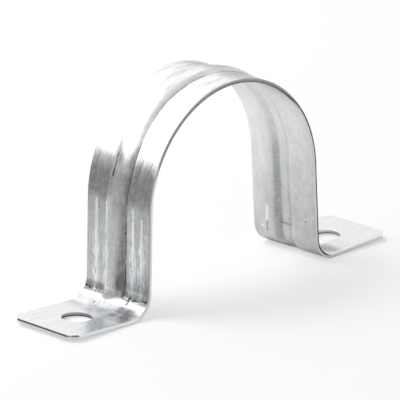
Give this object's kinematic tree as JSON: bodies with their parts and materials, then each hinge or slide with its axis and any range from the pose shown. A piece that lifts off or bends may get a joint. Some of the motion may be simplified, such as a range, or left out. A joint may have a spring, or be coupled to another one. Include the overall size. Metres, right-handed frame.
{
  "type": "omega clamp",
  "caption": "Omega-shaped pipe clamp bent from galvanised steel strip, with a stiffening bead over the saddle and a screw hole in each foot.",
  "frame": {"origin": "on the plane the clamp stands on, under the pipe's axis, midway along the strip's width", "axes": "+X from the pipe's axis towards one foot, +Y along the pipe, +Z away from the wall"},
  "size_m": [0.0988, 0.02, 0.0496],
  "materials": {
    "galvanised_steel": "hot-dip galvanised, semi-bright, with press marks"
  },
  "bodies": {
    "root": {"strap": "galvanised_steel"}
  },
  "joints": []
}
